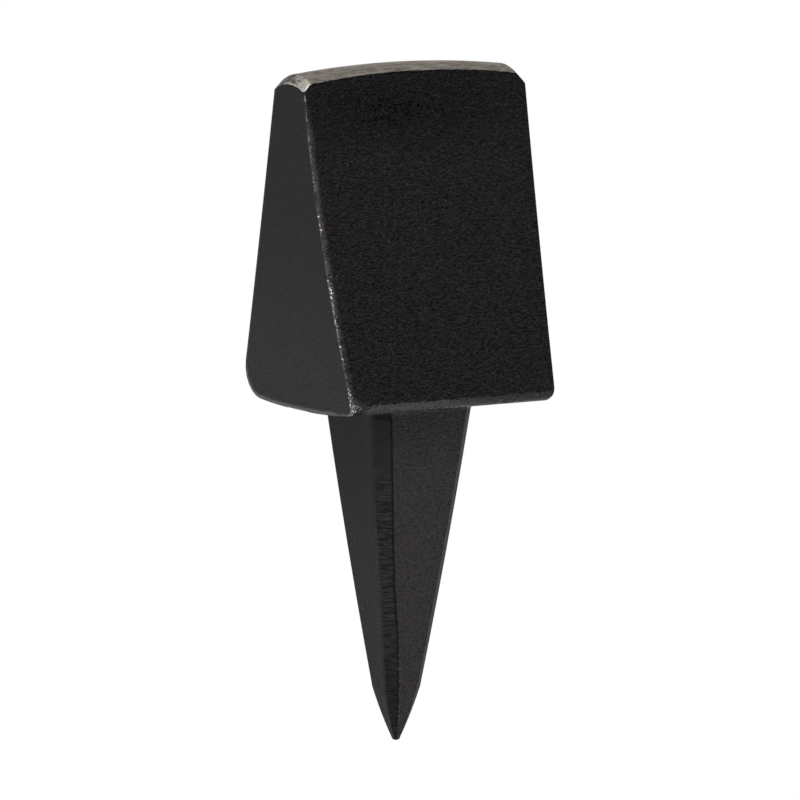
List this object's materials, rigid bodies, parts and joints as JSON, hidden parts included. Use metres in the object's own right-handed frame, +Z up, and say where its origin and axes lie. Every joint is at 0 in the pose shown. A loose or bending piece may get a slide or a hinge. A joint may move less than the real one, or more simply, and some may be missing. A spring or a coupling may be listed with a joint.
{
  "type": "scythe peening anvil",
  "caption": "Forged steel peening anvil: a wedge-shaped head with a long narrow crowned face, on a tapered square spike for a wooden block.",
  "frame": {"origin": "on the spike's axis at the lowest line of the head's underside, where the anvil meets its block", "axes": "+Z up out of the block, X along the working face, Y across it, with the more rounded back edge of the underside towards +Y"},
  "size_m": [0.06, 0.0462, 0.1584],
  "materials": {
    "lacquered_steel": "black lacquer on forged steel, satin, with the working face ground bare"
  },
  "bodies": {
    "root": {"anvil": "lacquered_steel"}
  },
  "joints": []
}
